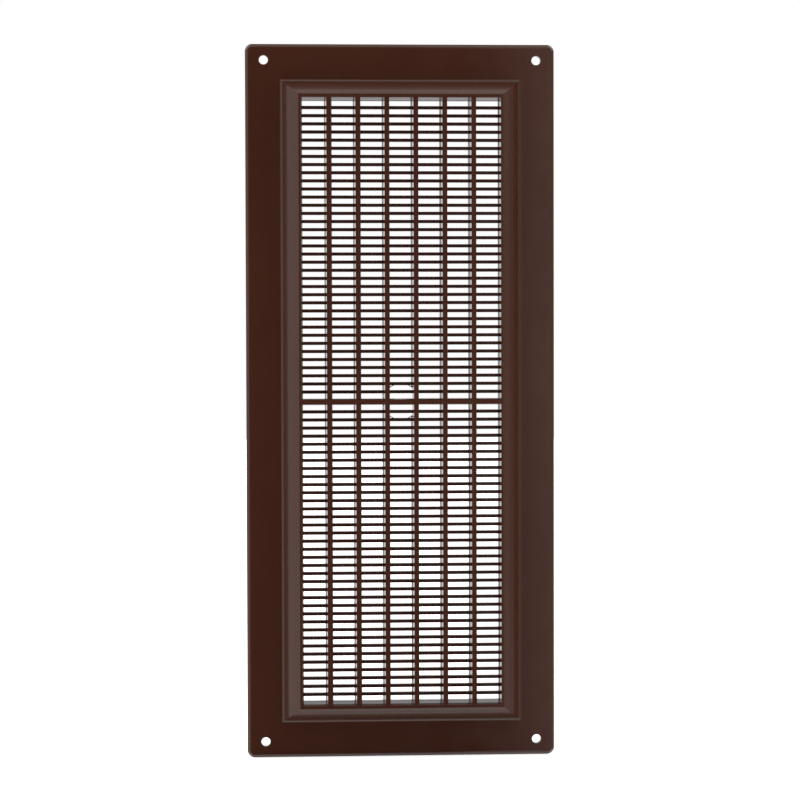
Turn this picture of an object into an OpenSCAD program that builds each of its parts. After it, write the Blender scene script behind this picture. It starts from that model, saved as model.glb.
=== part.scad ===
// Ventilation grille for a wall or door opening, injection moulded in brown plastic.
// X is the width, Z the height, and the grille faces -Y. The origin is the middle of
// the back of the flange, where it lies on the wall. Sizes are in millimetres.

/* [Face] */
// Width over the flange
face_w = 130; // [110:1:170]
// Height over the flange
face_h = 300; // [240:1:360]
// Radius of the flange's corners
corner_r = 3; // [2:0.5:6]
// Thickness of the flange
flange_t = 3; // [2:0.25:5]
// Radius of the rounded edge round the front of the flange
rim_r = 1.2; // [0.5:0.1:1.6]
// Flat width of the flange beside the raised surround, on the left and right
border_w = 14.55; // [12:0.05:20]
// Flat width of the flange above and below the raised surround
border_end_w = 15.45; // [12:0.05:20]

/* [Screw holes] */
// Diameter of a screw hole
hole_d = 3.8; // [3:0.1:6]
// Distance from a hole's centre to the side edge of the flange
hole_inset_x = 7.75; // [6:0.25:9]
// Distance from a hole's centre to the top or bottom edge of the flange
hole_inset_z = 6.8; // [6:0.1:9]

/* [Raised surround] */
// Height of the surround in front of the flange
raise_h = 8; // [4:0.5:10]
// Width of the bevel on the left and right
bevel_side_w = 7.95; // [5:0.05:10]
// Width of the bevel on the top and bottom
bevel_end_w = 6.3; // [5:0.05:10]
// Width of the left and right bevel over which the rounded ridge turns down to the slope
ridge_roll = 2.9; // [1:0.1:4]
// Wall of the hollow bevel, measured from front to back
bevel_wall = 2.6; // [1.6:0.1:3.5]
// Width of the flange that carries the foot of the bevel
foot_seat = 2.8; // [2.6:0.1:4]
// Flat land between bevel and opening on the left and right
land_side_w = 0.8; // [0.8:0.1:3]
// Flat land between bevel and opening on the top and bottom
land_end_w = 1.15; // [0.8:0.05:3]

/* [Lattice] */
// Front face of the blades, from the wall
lattice_front = 3.5; // [3:0.1:4.5]
// Depth of a blade from front to back
blade_d = 2.5; // [1.5:0.1:2.9]
// Thickness of a blade
blade_t = 1.15; // [0.8:0.05:1.8]
// Wanted distance from blade to blade, which is rounded to fill the field
blade_pitch = 3.4; // [2.8:0.1:6]
// Clear gap between the cross bar and the blade next to it
bar_gap = 2.12; // [1.5:0.02:3]
// Width of a rib's front face
rib_w = 1.85; // [1.2:0.05:3]
// Height of the cross bar's front face
bar_w = 1.65; // [1.2:0.05:3]
// Height of the thicker middle stretch of the cross bar
boss_w = 2.1; // [1.7:0.1:3]
// Draft of each deep side, from the front down to the blades
draft = 0.3; // [0.1:0.05:0.5]
// Draft of the opening's top and bottom, from the front down to the blades
end_draft = 0.85; // [0.1:0.05:1.2]
// Step beside a rib at the front of the blades
rib_step = 0.1; // [0.05:0.05:0.9]
// Step above and below the cross bar at the front of the blades
bar_step = 0.1; // [0.05:0.05:0.9]
// Draft of the ribs and the cross bar from the front of the blades to their back
flare = 0.25; // [0.05:0.05:0.5]
// Step at the left and right walls at the front of the blades
side_step = 0.2; // [0.1:0.05:1.5]
// Step at the top and bottom walls at the front of the blades
end_step = 0.1; // [0.05:0.05:1.5]
// How much wider the first and the last column of slots are than the others
edge_column = 0.35; // [0:0.05:1]
// Depth of the half of the cross bar that passes in front of the ribs
lap_d = 3.25; // [2:0.25:4]

/* [Gate ring] */
// Distance that the ring reaches past the far sides of the two ribs that it joins
ring_lap = 0.1; // [0.1:0.1:1]
// Wall of the ring
ring_wall = 0.3; // [0.3:0.1:1.2]
// Distance of the ring's back from the wall
ring_clear = 0.4; // [0.2:0.1:0.8]

/* [Hidden] */
// Half sizes of the nested outlines, from the flange inwards
foot_x = face_w / 2 - border_w;
foot_z = face_h / 2 - border_end_w;
ridge_x = foot_x - bevel_side_w;
ridge_z = foot_z - bevel_end_w;
open_x = ridge_x - land_side_w;
open_z = ridge_z - land_end_w;
field_x = open_x - draft - side_step;
field_z = open_z - end_draft - end_step;
hole_x = face_w / 2 - hole_inset_x;
hole_z = face_h / 2 - hole_inset_z;

// Heights over the wall
front_d = flange_t + raise_h;
lattice_back = lattice_front - blade_d;
lap_at = front_d - lap_d;

// Ribs stand between seven columns of slots, of which the first and the last are wider
rib_count = 6;
rib_strip_w = rib_w + 2 * (draft + rib_step);
rib_rear_w = rib_strip_w + 2 * flare;
rib_pitch = (2 * (field_x - edge_column) + rib_rear_w) / (rib_count + 1);
function rib_x(i) = (i - (rib_count + 1) / 2) * rib_pitch;

// Blades fill each half of the field, in four banks
bank_count = 4;
bar_strip_w = bar_w + 2 * (draft + bar_step);
bar_rear_w = bar_strip_w + 2 * flare;
blades_from = bar_rear_w / 2 + bar_gap;
blades_half = round((field_z - blades_from) / blade_pitch);
blade_step = (field_z - blades_from) / blades_half;
function blade_z(k) = blades_from + blade_t / 2 + k * blade_step;
function bank_start(b) = round((b - 1) * blades_half / bank_count);

// The gate ring joins the two ribs beside the middle
ring_r = rib_pitch / 2 + rib_rear_w / 2 + ring_lap;

// Length that a cutting prism runs past what it cuts
past = 1;
ridge_facets = 10;
round_fn = 96;
plastic = "#3b211a";

// The modules below draw the grille lying on its back: x across, y up its height and
// z away from the wall. This stands it up to face -Y.
module stand_up() { color(plastic) rotate([90, 0, 0]) children(); }

// Prism along y of an outline in x and z
module along_y(length) { rotate([90, 0, 0]) linear_extrude(length, center = true) children(); }

// Prism along x of an outline in y and z
module along_x(length) { rotate([90, 0, 90]) linear_extrude(length, center = true) children(); }

// Slice of what is drawn, between two heights over the wall
module between(low, high) {
    intersection() {
        children();
        translate([-face_w / 2, -face_h / 2, low]) cube([face_w, face_h, high - low]);
    }
}

// Section of the flange's edge for a strip that ends at x = reach
module rim_section(reach) {
    square([reach - rim_r, flange_t]);
    square([reach, flange_t - rim_r]);
    translate([reach - rim_r, flange_t - rim_r]) circle(rim_r, $fn = round_fn);
}

// Flat plate with round corners and a rounded front edge
module flange_plate() {
    straight_x = face_w / 2 - corner_r;
    straight_z = face_h / 2 - corner_r;
    for (x = [-1, 1], z = [-1, 1])
        translate([x * straight_x, z * straight_z, 0])
            rotate_extrude($fn = round_fn) rim_section(corner_r);
    for (side = [0, 1]) {
        mirror([side, 0, 0]) along_y(2 * straight_z) rim_section(face_w / 2);
        mirror([0, side, 0]) along_x(2 * straight_x) rim_section(face_h / 2);
    }
}

// Frame that lies on the wall, with the four screw holes
module flange() {
    window_x = foot_x - foot_seat;
    window_z = foot_z - foot_seat;
    difference() {
        flange_plate();
        translate([-window_x, -window_z, -past])
            cube([2 * window_x, 2 * window_z, flange_t + 2 * past]);
        for (x = [-1, 1], z = [-1, 1])
            translate([x * hole_x, z * hole_z, -past])
                cylinder(h = flange_t + 2 * past, d = hole_d, $fn = round_fn);
    }
}

// Face of the bevel from its foot to its ridge, stretched to the bevel's width. The slope
// is even up to the rounded ridge, where it lessens steadily and ends level with the land.
ridge_part = ridge_roll / bevel_side_w;
function fallen(t) = t < ridge_part ? t * t / (2 * ridge_part) : t - ridge_part / 2;
function bevel_face(width) = concat(
    [[width, flange_t]],
    [
        for (k = [ridge_facets:-1:0])
            let (t = ridge_part * k / ridge_facets)
            [width * t, front_d - raise_h * fallen(t) / fallen(1)]
    ]
);

// Section of the hollow bevel, with x measured outwards from the ridge
module bevel_section(width) {
    face = bevel_face(width);
    difference() {
        polygon(concat(face, [[0, flange_t]]));
        translate([0, -bevel_wall])
            polygon(concat(face, [[-past, front_d], [-past, -past], [width, -past]]));
    }
}

// Side of the surround, mitred to meet the top and the bottom
module bevel_upright() {
    intersection() {
        translate([ridge_x, 0, 0]) along_y(2 * foot_z) bevel_section(bevel_side_w);
        linear_extrude(front_d + past)
            polygon([[ridge_x, -ridge_z], [foot_x, -foot_z], [foot_x, foot_z], [ridge_x, ridge_z]]);
    }
}

// Top of the surround, mitred to meet the sides
module bevel_rail() {
    intersection() {
        translate([0, ridge_z, 0]) along_x(2 * foot_x) bevel_section(bevel_end_w);
        linear_extrude(front_d + past)
            polygon([[-ridge_x, ridge_z], [-foot_x, foot_z], [foot_x, foot_z], [ridge_x, ridge_z]]);
    }
}

// Half outline of the deep opening: drafted down to the blades, then stepped in
function opening_half(front_half, rear_half, slant) = [
    [rear_half, -past],
    [rear_half, lattice_front],
    [front_half - slant, lattice_front],
    [front_half, front_d],
    [front_half, front_d + past]
];
function reversed(list) = [for (k = [len(list) - 1:-1:0]) list[k]];
function both_sides(half) = concat(half, [for (p = reversed(half)) [-p[0], p[1]]]);

// Space inside the throat, which holds the lattice
module field_space() {
    intersection() {
        along_y(face_h) polygon(both_sides(opening_half(open_x, field_x, draft)));
        along_x(face_w) polygon(both_sides(opening_half(open_z, field_z, end_draft)));
    }
}

// Inner wall of the surround, from the land back to the wall
module throat() {
    difference() {
        translate([-ridge_x, -ridge_z, 0]) cube([2 * ridge_x, 2 * ridge_z, front_d]);
        field_space();
    }
}

// Outline of the deep drafted part of a rib or of the cross bar, in front of the blades
module stem_section(front_w) {
    polygon(both_sides([[front_w / 2 + draft, lattice_front], [front_w / 2, front_d]]));
}

// Outline of the wider part beside the blades, from its back to its front
module strip_section(rear_w, front_w) {
    polygon(both_sides([[rear_w / 2, lattice_back], [front_w / 2, lattice_front]]));
}
module rib_strip(i, length) {
    translate([rib_x(i), 0, 0]) along_y(length) strip_section(rib_rear_w, rib_strip_w);
}

module rib_stem(i) { translate([rib_x(i), 0, 0]) along_y(face_h) stem_section(rib_w); }
module bar_stem() { along_x(face_w) stem_section(bar_w); }

// Blades from k = first to k = last of the upper half, lengthened behind or ahead for a cut
module blade_row(first, last, behind = 0, ahead = 0) {
    for (k = [first:last])
        translate([-field_x, blade_z(k) - blade_t / 2, lattice_back - behind])
            cube([2 * field_x, blade_t, behind + blade_d + ahead]);
}

module all_blades(behind, ahead) {
    blade_row(0, blades_half - 1, behind, ahead);
    mirror([0, 1, 0]) blade_row(0, blades_half - 1, behind, ahead);
}

// Cut behind the middle of the lattice, in which the gate ring stands
module ring_pocket() {
    cylinder(h = lattice_front + past, r = ring_r, $fn = round_fn);
}

// Rib: a stem, half lapped under the cross bar, on a strip notched for every blade
module rib(i) {
    difference() {
        intersection() {
            rib_stem(i);
            field_space();
        }
        between(lap_at, front_d + past) bar_stem();
    }
    difference() {
        rib_strip(i, 2 * field_z);
        all_blades(past, past);
        ring_pocket();
    }
}

// Bar across the middle: a stem, half lapped over the ribs, a thicker stretch between
// the middle two ribs, and a strip that stops at each rib
module cross_bar() {
    difference() {
        intersection() {
            bar_stem();
            field_space();
        }
        for (i = [1:rib_count]) between(0, lap_at) rib_stem(i);
    }
    difference() {
        along_x(rib_pitch) stem_section(boss_w);
        for (i = [1:rib_count]) rib_stem(i);
    }
    difference() {
        along_x(2 * field_x) strip_section(bar_rear_w, bar_strip_w);
        for (i = [1:rib_count]) rib_strip(i, face_h);
        ring_pocket();
    }
}

// Thin ring left by the mould's gate, with a tooth between each two blades
module gate_ring() {
    difference() {
        translate([0, 0, ring_clear])
            cylinder(h = lattice_front - ring_clear, r = ring_r, $fn = round_fn);
        cylinder(h = lattice_front + past, r = ring_r - ring_wall, $fn = round_fn);
        all_blades(0, past);
    }
}

// One bank of blades, counted from the cross bar outwards
module blade_bank(b) {
    blade_row(bank_start(b), bank_start(b + 1) - 1);
}

stand_up() flange();
stand_up() mirror([1, 0, 0]) bevel_upright();  // bevel_left
stand_up() bevel_upright();  // bevel_right
stand_up() bevel_rail();  // bevel_top
stand_up() mirror([0, 1, 0]) bevel_rail();  // bevel_bottom
stand_up() throat();
for (i = [1:rib_count])
    stand_up() rib(i);
stand_up() cross_bar();
stand_up() gate_ring();
for (b = [1:bank_count]) {
    stand_up() blade_bank(b);
    stand_up() mirror([0, 1, 0]) blade_bank(b);
}
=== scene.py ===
"""Ventilation grille in glossy chocolate-brown plastic, standing upright and facing -Y.

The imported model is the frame. The bevelled surround is made again here as smooth swept
faces. The flange gets a fuller rounded rim, the bar fuller sides and the thin members a
little more thickness. The flange's holes, the throat, the ribs, the bar and the blades get
their small moulded edge radii, and every piece gets the moulded plastic, which is polished
in front and satin behind. Sizes are in millimetres, which MM turns into Blender's metres,
unless a comment says metres. Angles are in degrees.
"""
import math

import bmesh
import bpy
import numpy as np
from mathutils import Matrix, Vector


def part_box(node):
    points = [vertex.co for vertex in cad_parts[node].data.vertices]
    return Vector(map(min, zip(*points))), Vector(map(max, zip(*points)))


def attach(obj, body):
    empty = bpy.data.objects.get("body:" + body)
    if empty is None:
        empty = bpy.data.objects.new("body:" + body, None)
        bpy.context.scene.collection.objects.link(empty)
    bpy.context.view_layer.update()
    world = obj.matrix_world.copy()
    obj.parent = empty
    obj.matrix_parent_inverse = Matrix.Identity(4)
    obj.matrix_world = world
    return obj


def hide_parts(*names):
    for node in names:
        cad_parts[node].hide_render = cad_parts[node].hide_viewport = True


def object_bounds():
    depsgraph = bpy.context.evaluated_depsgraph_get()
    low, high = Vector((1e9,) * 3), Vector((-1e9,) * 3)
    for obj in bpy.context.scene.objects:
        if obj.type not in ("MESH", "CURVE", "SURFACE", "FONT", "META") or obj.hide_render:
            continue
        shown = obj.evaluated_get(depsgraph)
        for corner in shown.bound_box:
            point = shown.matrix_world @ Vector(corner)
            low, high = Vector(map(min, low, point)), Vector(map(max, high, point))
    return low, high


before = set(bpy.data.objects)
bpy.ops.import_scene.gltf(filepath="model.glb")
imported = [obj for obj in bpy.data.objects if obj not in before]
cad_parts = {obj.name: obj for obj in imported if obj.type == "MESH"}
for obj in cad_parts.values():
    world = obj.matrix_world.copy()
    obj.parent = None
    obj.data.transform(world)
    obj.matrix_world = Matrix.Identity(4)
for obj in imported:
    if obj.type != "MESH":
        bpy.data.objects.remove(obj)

CAD_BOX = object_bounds()  # metres
MM = 0.001
DEGREES = 180 / math.pi  # in a radian

# Camera, fitted to the flange, holes, ribs and blades of an 800 x 800 picture
CAMERA_PLACE = (-0.06795, -1.13740, 0.03538)  # metres
CAMERA_TURN = (88.250, 0.138, -3.414)
CAMERA_RANGE = (0.01, 50.0)  # metres
LENS = 121.55
SENSOR = 36.0

# Main sizes of the part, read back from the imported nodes
FLANGE_FRONT = -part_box("flange")[0].y / MM
FLANGE_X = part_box("flange")[1].x / MM
FLANGE_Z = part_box("flange")[1].z / MM
FRONT = -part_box("throat")[0].y / MM
RIDGE_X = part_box("throat")[1].x / MM
RIDGE_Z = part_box("throat")[1].z / MM
FOOT_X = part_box("bevel_right")[1].x / MM
FOOT_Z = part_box("bevel_top")[1].z / MM
RIBS = [f"rib_{i}" for i in range(1, 7)]
BLADES = [f"blades_{half}_{bank}" for half in ("upper", "lower") for bank in range(1, 5)]

# Turn between two faces over which their edge is shaded sharp, and over which it is a corner
SHARP_OVER = 30
CORNER_OVER = 60
# How close a point has to be to a height in front of the wall, and to any other place
HEIGHT_SLACK = 0.02
SLACK = 0.01


def placed(name, data):
    """New object of that name, linked to the scene."""
    thing = bpy.data.objects.new(name, data)
    bpy.context.scene.collection.objects.link(thing)
    return thing


# ---------------------------------------------------------------- plastic

# The deepest and the palest brown, each at its level of the drift, and the part that streaks
# have in the drift
BROWNS = [(0.36, (0.0550, 0.0153, 0.0073, 1)), (0.64, (0.0620, 0.0180, 0.0088, 1))]
STREAKS = 0.4
# Roughness of the polished front and of the satin back, each where the haze is least and
# most, and the noise levels that count as such
POLISH = (0.07, 0.12)
SATIN = (0.34, 0.42)
HAZE = (0.35, 0.7)
# How far a face points backwards where its satin begins, and where it is full
BACKWARDS = (0.55, 0.9)
# Height of the orange peel against the grain of the back, their full height, and how much
# of it shows
PEEL = 0.35
RELIEF = 0.04
RELIEF_SHOWN = 0.25


class Nodes:
    """Short way to write a shader. add() makes a node of a kind with its settings, and links
    or sets its inputs. An input goes by its name, with _ for a space, or by its number, as
    in i0."""

    def __init__(self, tree):
        self.tree = tree
        tree.nodes.clear()

    def add(self, kind, settings=None, **inputs):
        node = self.tree.nodes.new(kind)
        for key, value in (settings or {}).items():
            setattr(node, key, value)
        for key, value in inputs.items():
            socket = node.inputs[int(key[1:]) if key[1:].isdigit() else key.replace("_", " ")]
            if isinstance(value, bpy.types.NodeSocket):
                self.tree.links.new(value, socket)
            else:
                socket.default_value = value
        return node

    def math(self, operation, a, b=0.0, c=0.0):
        node = self.add("ShaderNodeMath", {"operation": operation}, i0=a, i1=b, i2=c)
        return node.outputs[0]

    def square(self, value):
        return self.math("POWER", value, 2.0)

    def ease(self, value, low, high, out_low=0.0, out_high=1.0):
        """Smooth step from out_low to out_high as value goes from low to high."""
        node = self.add("ShaderNodeMapRange", {"interpolation_type": "SMOOTHSTEP"}, Value=value,
                        From_Min=low, From_Max=high, To_Min=out_low, To_Max=out_high)
        return node.outputs[0]

    def noise(self, spot, scale, detail, roughness=0.5):
        node = self.add("ShaderNodeTexNoise", Vector=spot, Scale=scale, Detail=detail,
                        Roughness=roughness)
        return node.outputs["Fac"]

    def ramp(self, value, stops):
        """Colour that goes in straight steps through the (position, colour) pairs of stops."""
        node = self.add("ShaderNodeValToRGB", Fac=value)
        for _ in stops[2:]:
            node.color_ramp.elements.new(1.0)
        for element, (position, colour) in zip(node.color_ramp.elements, stops):
            element.position, element.color = position, colour
        return node.outputs[0]


def moulded_plastic():
    """Brown moulded plastic. The colour drifts a little along the flow from the gate, the
    front is polished with a faint orange peel, and the back has the satin of the core side.
    The scale of a noise is its waves to the metre."""
    material = bpy.data.materials.new("moulded_brown_plastic")
    material.use_nodes = True
    n = Nodes(material.node_tree)
    place = n.add("ShaderNodeTexCoord")
    spot, facing = place.outputs["Object"], place.outputs["Normal"]

    cloud = n.noise(spot, scale=22.0, detail=2.0)
    flow = n.add("ShaderNodeMapping", Vector=spot, Scale=(60.0, 60.0, 9.0)).outputs[0]
    streak = n.noise(flow, scale=1.0, detail=3.0, roughness=0.55)
    drift = n.math("MULTIPLY_ADD", streak, STREAKS, n.math("MULTIPLY", cloud, 1 - STREAKS))
    brown = n.ramp(drift, BROWNS)

    back = n.ease(n.add("ShaderNodeSeparateXYZ", Vector=facing).outputs["Y"], *BACKWARDS)
    haze = n.noise(spot, scale=95.0, detail=4.0, roughness=0.6)
    rough = n.add("ShaderNodeMix", {"data_type": "FLOAT"}, Factor=back,
                  i2=n.ease(haze, *HAZE, *POLISH), i3=n.ease(haze, *HAZE, *SATIN))

    peel = n.noise(spot, scale=420.0, detail=2.0)
    skin = n.noise(spot, scale=3200.0, detail=1.0)
    relief = n.math("MULTIPLY_ADD", skin, back, n.math("MULTIPLY", peel, PEEL))
    bump = n.add("ShaderNodeBump", Strength=RELIEF_SHOWN, Distance=RELIEF * MM, Height=relief)

    shade = n.add("ShaderNodeBsdfPrincipled", Base_Color=brown, Roughness=rough.outputs[0],
                  IOR=1.5, Normal=bump.outputs[0])
    n.add("ShaderNodeOutputMaterial", Surface=shade.outputs[0])
    return material


def finish_piece(piece, node):
    """Gives a new piece its plastic and its body, and hides the imported node that it stands
    for.
    """
    piece.data.materials.clear()
    piece.data.materials.append(PLASTIC)
    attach(piece, "root")
    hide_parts(node)


def smooth(mesh):
    """Smooth shading that stays crisp at sharp edges."""
    mesh.shade_smooth()
    mesh.set_sharp_from_angle(angle=math.radians(SHARP_OVER))


# ---------------------------------------------------------------- bevels of the surround

# Lengths along the section at which its slope is known, how far it reaches from the ridge on
# the sides and on the ends, and its wall
BEVEL_ALONG = (0.0, 0.6, 10.1, 12.6)
BEVEL_SLOPE = (0.0, 32.0, 56.0, 0.0)
BEVEL_REACH_X = 8.7
BEVEL_REACH_Z = 7.35
BEVEL_WALL = 2.6
# Points of the running sums, and the points of the front that are kept
BEVEL_SUMMED = 2400
BEVEL_STEPS = 96


def bevel_section():
    """Closed section of a bevel as rows of (across, height). Across is 0 at the ridge and 1
    where the fillet at the foot has run out on the flange, and height is measured from the
    wall. The slope follows BEVEL_SLOPE along the section: a quick roll over the ridge, a
    long swell and a fillet. The running sums of its cosine and sine are the curve, scaled
    to the reach and to the height, and its points follow each other evenly in length and in
    turn. The back is the same curve one wall lower, down to the flange."""
    along = np.linspace(0, BEVEL_ALONG[-1], BEVEL_SUMMED)
    slope = np.radians(np.interp(along, BEVEL_ALONG, BEVEL_SLOPE))
    across, drop = np.cumsum(np.cos(slope)), np.cumsum(np.sin(slope))
    across = (across - across[0]) / (across[-1] - across[0])
    height = FRONT - (FRONT - FLANGE_FRONT) * (drop - drop[0]) / (drop[-1] - drop[0])
    turned = np.concatenate([[0], np.cumsum(np.abs(np.diff(slope)))])
    pace = along / along[-1] + turned / turned[-1]
    even = np.linspace(0, pace[-1], BEVEL_STEPS)
    front = np.stack([np.interp(even, pace, across), np.interp(even, pace, height)], 1)

    seat = np.interp(-FLANGE_FRONT - BEVEL_WALL, -height, across)
    inward = np.linspace(seat, 0, BEVEL_STEPS // 2)
    behind = np.stack([inward, np.interp(inward, across, height) - BEVEL_WALL], 1)
    behind[0, 1] = FLANGE_FRONT
    return np.concatenate([front, behind])


def bevel_side(node, run, sign):
    """Sweeps the bevel's section along one side of the surround, between two mitre planes.
    A point at `across` lies that part of the way from the ridge to the foot, both outwards
    and along the side, so each end is the mitre."""
    section = bevel_section()
    across, height = section[:, 0], section[:, 1]
    x = RIDGE_X + BEVEL_REACH_X * across
    z = RIDGE_Z + BEVEL_REACH_Z * across
    if run == "z":
        first = np.stack([sign * x, -height, -z], 1)
        last = np.stack([sign * x, -height, z], 1)
    else:
        first = np.stack([-x, -height, sign * z], 1)
        last = np.stack([x, -height, sign * z], 1)
    count = len(section)
    k = np.arange(count)
    after = (k + 1) % count
    walls = np.stack([k, after, after + count, k + count], 1).tolist()
    mesh = bpy.data.meshes.new(node)
    mesh.from_pydata((np.concatenate([first, last]) * MM).tolist(), [],
                     walls + [k[::-1].tolist(), (k + count).tolist()])
    shell = bmesh.new()
    shell.from_mesh(mesh)
    bmesh.ops.recalc_face_normals(shell, faces=shell.faces)
    shell.to_mesh(mesh)
    shell.free()
    smooth(mesh)
    finish_piece(placed(node + "_moulded", mesh), node)


# ---------------------------------------------------------------- pieces with small radii

# Distance in metres within which points are one, and within which they lie in a cut, and the
# turn within which neighbouring triangles are one flat face
SAME_POINT = 1e-6
ON_CUT = 1e-7
FLAT_WITHIN = 0.4
# Radii at the holes, the throat's land, the ribs, the bar and the blades, and the rows of
# faces in a round
HOLE_RADIUS = 0.1
LAND_RADIUS = 0.2
RIB_RADIUS = 0.08
BAR_RADIUS = 0.08
BLADE_RADIUS = 0.04
ROUND_STEPS = 3
BLADE_STEPS = 2


def softened(node, radius, chosen, cuts=(), steps=ROUND_STEPS, reshape=None):
    """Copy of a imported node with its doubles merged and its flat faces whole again, and a
    small round of that radius on the outer edges for which chosen(a, b, turn) is true. a and
    b are the edge's ends and turn is the angle between its faces. Before that, the copy is
    cut at planes, each given by its point nearest to the origin, and reshape moves its
    points, as rows of (x, y, z)."""
    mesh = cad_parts[node].data.copy()
    body = bmesh.new()
    body.from_mesh(mesh)
    bmesh.ops.remove_doubles(body, verts=body.verts, dist=SAME_POINT)
    bmesh.ops.dissolve_limit(body, angle_limit=math.radians(FLAT_WITHIN),
                             verts=body.verts, edges=body.edges)
    for place in map(Vector, cuts):
        bmesh.ops.bisect_plane(body, geom=body.verts[:] + body.edges[:] + body.faces[:],
                               dist=ON_CUT, plane_co=place * MM, plane_no=place.normalized())
    if reshape:
        body.to_mesh(mesh)
        points = np.empty(3 * len(mesh.vertices), np.float32)
        mesh.vertices.foreach_get("co", points)
        points = reshape(points.astype(float).reshape(-1, 3) / MM) * MM
        mesh.vertices.foreach_set("co", points.ravel())
        body.clear()
        body.from_mesh(mesh)
    weight = body.edges.layers.float.new("bevel_weight_edge")
    for edge in body.edges:
        if len(edge.link_faces) == 2 and edge.is_convex:
            a, b = (end.co / MM for end in edge.verts)
            if chosen(a, b, math.degrees(edge.calc_face_angle())):
                edge[weight] = 1.0
    body.to_mesh(mesh)
    body.free()
    smooth(mesh)
    piece = placed(node + "_moulded", mesh)
    rounding = piece.modifiers.new("edge_radius", "BEVEL")
    rounding.limit_method, rounding.offset_type = "WEIGHT", "OFFSET"
    rounding.width, rounding.segments = radius * MM, steps
    rounding.use_clamp_overlap = False
    flat = piece.modifiers.new("flat_faces", "WEIGHTED_NORMAL")
    flat.mode, flat.weight, flat.keep_sharp = "FACE_AREA", 100, True
    finish_piece(piece, node)


def at_height(height, *points):
    """True if all the points are that far in front of the wall."""
    return all(abs(-p.y - height) < HEIGHT_SLACK for p in points)


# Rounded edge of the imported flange, how many times as wide and as deep it is made, and the
# centres of its corners, whose radius is the flange's thickness
RIM = 1.2
RIM_WIDER = 2.1
RIM_DEEPER = 1.6
CORE_X = FLANGE_X - FLANGE_FRONT
CORE_Z = FLANGE_Z - FLANGE_FRONT


def fuller_rim(points):
    """Points of the flange with a wider and deeper rounded edge. A point of the edge's
    quarter circle moves in from the outline and down from the front in proportion. In from
    the outline means towards the nearest point of the box between the corners' centres."""
    core = points.copy()
    core[:, 0] = np.clip(points[:, 0], -CORE_X, CORE_X)
    core[:, 2] = np.clip(points[:, 2], -CORE_Z, CORE_Z)
    out = points - core
    away = np.linalg.norm(out, axis=1)
    inset, depth = FLANGE_FRONT - away, FLANGE_FRONT + points[:, 1]
    rim = (inset < RIM + SLACK) & (depth < RIM + SLACK)
    stretch = (FLANGE_FRONT - RIM_WIDER * inset) / np.maximum(away, SLACK)
    moved = core + out * stretch[:, None]
    moved[:, 1] = RIM_DEEPER * depth - FLANGE_FRONT
    return np.where(rim[:, None], moved, points)


def soft_flange():
    """Flange with a fuller rounded edge, and with a small radius at the front of the holes."""
    def mouth(a, b, turn):
        return (turn > CORNER_OVER and at_height(FLANGE_FRONT, a, b)
                and abs(a.x) > FOOT_X and abs(a.z) > FOOT_Z)

    softened("flange", HOLE_RADIUS, mouth, reshape=fuller_rim)


def soft_throat():
    """Opening with a small radius where the land turns down into the deep wall, that is at
    its front edges inside the ridge."""
    def lip(a, b, turn):
        middle = (a + b) / 2
        return (turn > CORNER_OVER and at_height(FRONT, a, b)
                and abs(middle.x) < RIDGE_X - SLACK and abs(middle.z) < RIDGE_Z - SLACK)

    softened("throat", LAND_RADIUS, lip)


def swollen(middles, axis, half, more):
    """Reshape that makes members thicker along an axis: a point moves away from the nearest
    of their middles in proportion to its distance from it, by `more` at the distance `half`."""
    def moved(points):
        place = points[:, axis]
        nearest = np.take(middles, np.abs(np.subtract.outer(place, middles)).argmin(axis=1))
        thicker = points.copy()
        thicker[:, axis] += more * (place - nearest) / half
        return thicker
    return moved


# Middles and half width of the ribs' fronts, and how much thicker each side is made
RIB_MIDDLES = [sum(corner.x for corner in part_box(rib)) / 2 / MM for rib in RIBS]
RIB_HALF = 0.925
RIB_MORE = 0.07


def soft_ribs():
    """Ribs with a small radius along both front edges."""
    def upright(a, b, turn):
        return turn > CORNER_OVER and at_height(FRONT, a, b) and abs(a.x - b.x) < SLACK

    for rib, middle in zip(RIBS, RIB_MIDDLES):
        softened(rib, RIB_RADIUS, upright, reshape=swollen([middle], 0, RIB_HALF, RIB_MORE))


# Half height of the bar's rear, and how far behind its front the sides get fuller, by which
# share of the way to the rear's height on the upper and on the lower side
BAR_REAR_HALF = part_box("cross_bar")[1].z / MM
BAR_SWELL = 1.6
BAR_FULLER_UP = 0.93
BAR_FULLER_DOWN = 0.3
# All the sides of the bar are further than BAR_SIDES from its middle line, those of its slim
# fronts are nearer than BAR_SLIM, and BAR_MORE is what a slim front gets on each side
BAR_SIDES = 0.8
BAR_SLIM = 0.9
BAR_MORE = 0.1
# How far inside a rib's side a point still counts as the slim front beside it, and how far
# inside the bar is cut once more, so that its rounds end there
BAR_UNDER_RIB = 0.1
BAR_CUT = 0.3


def fuller_bar(points):
    """Points of the cross bar with fuller sides. Behind BAR_SWELL the sides move out towards
    the bar's rear half height, by a share of the way that is left to it. At the front the
    slim parts between the ribs get BAR_MORE."""
    x, y, z = points.T
    half = np.abs(z)
    side = (half > BAR_SIDES) & (half < BAR_REAR_HALF)
    deep = y > BAR_SWELL - FRONT - SLACK
    to_rib = np.abs(np.subtract.outer(x, RIB_MIDDLES)).min(axis=1)
    slim = (half < BAR_SLIM) & (to_rib > RIB_HALF - BAR_UNDER_RIB)
    share = np.where(z > 0, BAR_FULLER_UP, BAR_FULLER_DOWN)
    more = np.where(deep, share * (BAR_REAR_HALF - half), np.where(slim, BAR_MORE, 0))
    moved = points.copy()
    moved[:, 2] += np.where(side, np.copysign(more, z), 0)
    return moved


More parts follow.
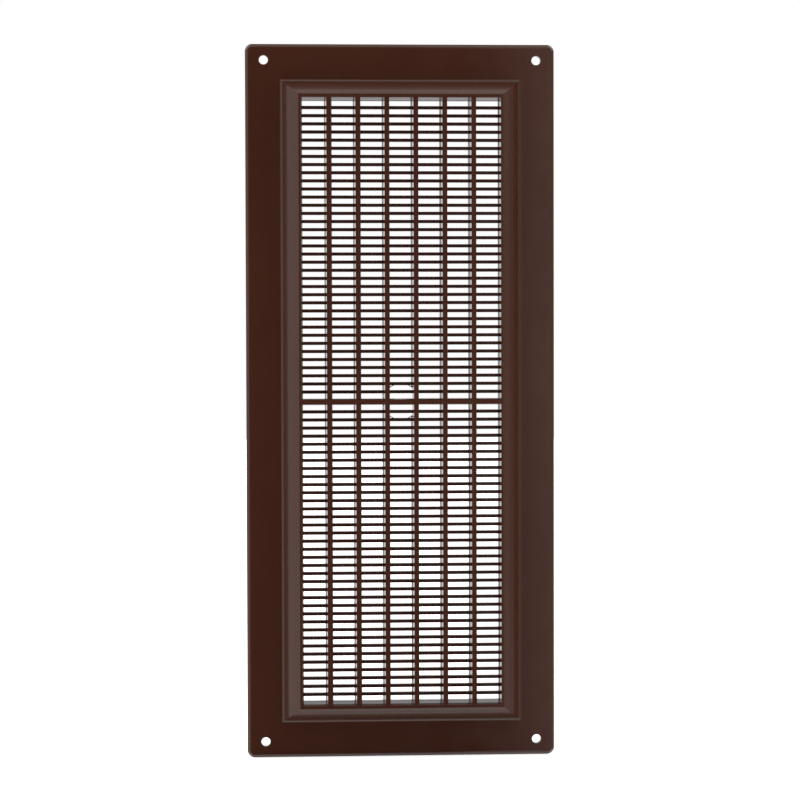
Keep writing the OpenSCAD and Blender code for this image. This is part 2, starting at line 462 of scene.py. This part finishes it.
def soft_bar():
    """Cross bar with fuller sides, and with a radius on its front edges between the ribs,
    where it stands free."""
    def level(a, b, turn):
        x = (a.x + b.x) / 2
        return (turn > CORNER_OVER and at_height(FRONT, a, b) and abs(a.z - b.z) < SLACK
                and all(abs(x - middle) > RIB_HALF for middle in RIB_MIDDLES))

    across = [(middle + side * half, 0, 0) for middle in RIB_MIDDLES for side in (-1, 1)
              for half in (RIB_HALF, RIB_HALF - BAR_CUT)]
    softened("cross_bar", BAR_RADIUS, level, cuts=[(0, BAR_SWELL - FRONT, 0), *across],
             reshape=fuller_bar)


# Blades in a bank, half of their thickness, how much thicker each side is made, and the
# length over which an edge is a blade's long one
BANK = 9
BLADE_HALF = 0.575
BLADE_MORE = 0.12
BLADE_LONG = 10


def soft_blades():
    """Blades with a slight radius on their long edges, front and back."""
    def long_edge(a, b, turn):
        return turn > CORNER_OVER and abs(a.x - b.x) > BLADE_LONG

    for bank in BLADES:
        low, high = (corner.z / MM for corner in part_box(bank))
        middles = np.linspace(low + BLADE_HALF, high - BLADE_HALF, BANK)
        softened(bank, BLADE_RADIUS, long_edge, steps=BLADE_STEPS,
                 reshape=swollen(middles, 2, BLADE_HALF, BLADE_MORE))


# ---------------------------------------------------------------- studio

# Floor: half its side and its distance under the grille, both in metres, its grey, and the
# light that lifts it to white for the camera
FLOOR_HALF = 3.0
FLOOR_GAP = 0.0002
FLOOR_GREY = (0.88, 0.88, 0.88, 1)
FLOOR_LIFT = 0.72

# Light from each side of the grille, by its axis and sign, and from the corners: its level at
# so many degrees off the axis ahead
LIGHT = [
    ("X", -1.0, [(0, 0.6), (20, 0.6), (50, 1.0), (66, 1.0), (92, 0.9), (106, 0.6), (120, 0.5),
                 (150, 0.9), (165, 1.0)]),
    ("X", 1.0, [(0, 0.72), (12, 0.74), (28, 0.42), (45, 0.44), (86, 0.44), (96, 0.2),
                (120, 0.22), (150, 0.9), (165, 1.0)]),
    ("Z", 1.0, [(0, 0.6), (20, 0.6), (55, 0.85), (68, 1.05), (95, 1.15), (102, 0.3),
                (120, 0.35), (150, 0.7), (163, 0.72), (172, 1.0)]),
    ("Z", -1.0, [(0, 0.6), (20, 0.6), (55, 0.9), (69, 1.5), (78, 1.5), (89, 1.15), (99, 0.75),
                 (120, 0.55), (150, 0.7), (163, 0.72), (172, 1.0)]),
    ("corner", None, [(0, 0.7), (12, 0.6), (28, 0.3), (50, 0.5), (62, 1.8), (90, 2.7),
                      (122, 2.7), (142, 1.2), (165, 1.0)]),
]
# A ramp's colour ends at 1, so the levels are held as parts of this one
LIGHT_FULL = 3.0
# Gap in the light ahead that the flat faces mirror: where it ends to the right of the axis,
# where it ends all round, and the part of the light that it takes
GAP_RIGHT = (5.9, 6.35)
GAP_ROUND = (42, 58)
GAP_TAKES = 0.88
# Keeps the division by the distance from the axis off zero
LEAST_ASIDE = 1e-6


def floor():
    """Pale floor under the grille. It keeps the shadow, and what the camera sees of it is
    lifted to white."""
    mesh = bpy.data.meshes.new("floor")
    z = CAD_BOX[0][2] - FLOOR_GAP
    corners = [(-1, -1), (1, -1), (1, 1), (-1, 1)]
    mesh.from_pydata([(FLOOR_HALF * x, FLOOR_HALF * y, z) for x, y in corners], [],
                     [(0, 1, 2, 3)])
    pale = bpy.data.materials.new("pale_floor")
    pale.use_nodes = True
    n = Nodes(pale.node_tree)
    matt = n.add("ShaderNodeBsdfDiffuse", Color=FLOOR_GREY)
    seen = n.add("ShaderNodeLightPath").outputs["Is Camera Ray"]
    lift = n.add("ShaderNodeEmission", Color=(1, 1, 1, 1),
                 Strength=n.math("MULTIPLY", seen, FLOOR_LIFT))
    both = n.add("ShaderNodeAddShader", i0=matt.outputs[0], i1=lift.outputs[0])
    n.add("ShaderNodeOutputMaterial", Surface=both.outputs[0])
    mesh.materials.append(pale)
    ground = placed("floor", mesh)
    ground.visible_glossy = False


def camera():
    """Camera at the photograph's place and angle."""
    eye = placed("camera", bpy.data.cameras.new("camera"))
    eye.location = CAMERA_PLACE
    eye.rotation_euler = [math.radians(v) for v in CAMERA_TURN]
    eye.data.lens, eye.data.sensor_width = LENS, SENSOR
    eye.data.clip_start, eye.data.clip_end = CAMERA_RANGE
    bpy.context.scene.camera = eye


def studio():
    """White surroundings for the camera, and soft light from all round for the grille. `flat`
    is (x^2 - z^2) / (x^2 + z^2): 1 towards the left and right, -1 towards the top and bottom
    and 0 towards the corners. Its square is the share of the light of a side, and what is
    left is the share of the corners."""
    scene = bpy.context.scene
    scene.view_settings.view_transform = "Standard"
    scene.world = bpy.data.worlds.new("studio")
    scene.world.use_nodes = True
    n = Nodes(scene.world.node_tree)
    way = n.add("ShaderNodeTexCoord").outputs["Generated"]
    xyz = n.add("ShaderNodeSeparateXYZ", Vector=way).outputs
    ahead = n.math("MULTIPLY", xyz["Y"], -1.0)
    off_axis = n.math("MULTIPLY", n.math("ARCCOSINE", ahead), DEGREES)
    aside = n.math("MAXIMUM", n.math("SUBTRACT", 1.0, n.square(ahead)), LEAST_ASIDE)
    flat = n.math("DIVIDE", n.math("SUBTRACT", n.square(xyz["X"]), n.square(xyz["Z"])), aside)
    shares = {"X": n.square(n.math("MAXIMUM", flat, 0.0)),
              "Z": n.square(n.math("MINIMUM", flat, 0.0)),
              "corner": n.math("SUBTRACT", 1.0, n.square(flat))}
    level = 0.0
    for axis, sign, stops in LIGHT:
        greys = [(angle / 180, (light / LIGHT_FULL,) * 3 + (1,)) for angle, light in stops]
        ramp = n.ramp(n.math("DIVIDE", off_axis, 180.0), greys)
        share = n.math("MULTIPLY", shares[axis], LIGHT_FULL)
        if sign:
            this_side = n.math("GREATER_THAN", n.math("MULTIPLY", xyz[axis], sign), 0.0)
            share = n.math("MULTIPLY", share, this_side)
        level = n.math("MULTIPLY_ADD", share, ramp, level)
    sideways = n.math("MULTIPLY", n.math("ARCTAN2", xyz["X"], ahead), DEGREES)
    gap = n.math("MULTIPLY", n.ease(sideways, *GAP_RIGHT, 1, 0),
                 n.ease(off_axis, *GAP_ROUND, 1, 0))
    level = n.math("MULTIPLY", level, n.math("MULTIPLY_ADD", gap, -GAP_TAKES, 1.0))
    lit = n.add("ShaderNodeBackground", Color=(1, 1, 1, 1), Strength=level)
    white = n.add("ShaderNodeBackground", Color=(1, 1, 1, 1), Strength=1.0)
    seen = n.add("ShaderNodeLightPath").outputs["Is Camera Ray"]
    both = n.add("ShaderNodeMixShader", Fac=seen, i1=lit.outputs[0], i2=white.outputs[0])
    n.add("ShaderNodeOutputWorld", Surface=both.outputs[0])


# ---------------------------------------------------------------- the grille

PLASTIC = moulded_plastic()
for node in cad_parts.values():
    node.data.materials[0] = PLASTIC

soft_flange()
bevel_side("bevel_left", "z", -1)
bevel_side("bevel_right", "z", 1)
bevel_side("bevel_top", "x", 1)
bevel_side("bevel_bottom", "x", -1)
soft_throat()
soft_ribs()
soft_bar()
soft_blades()

floor()
camera()
studio()
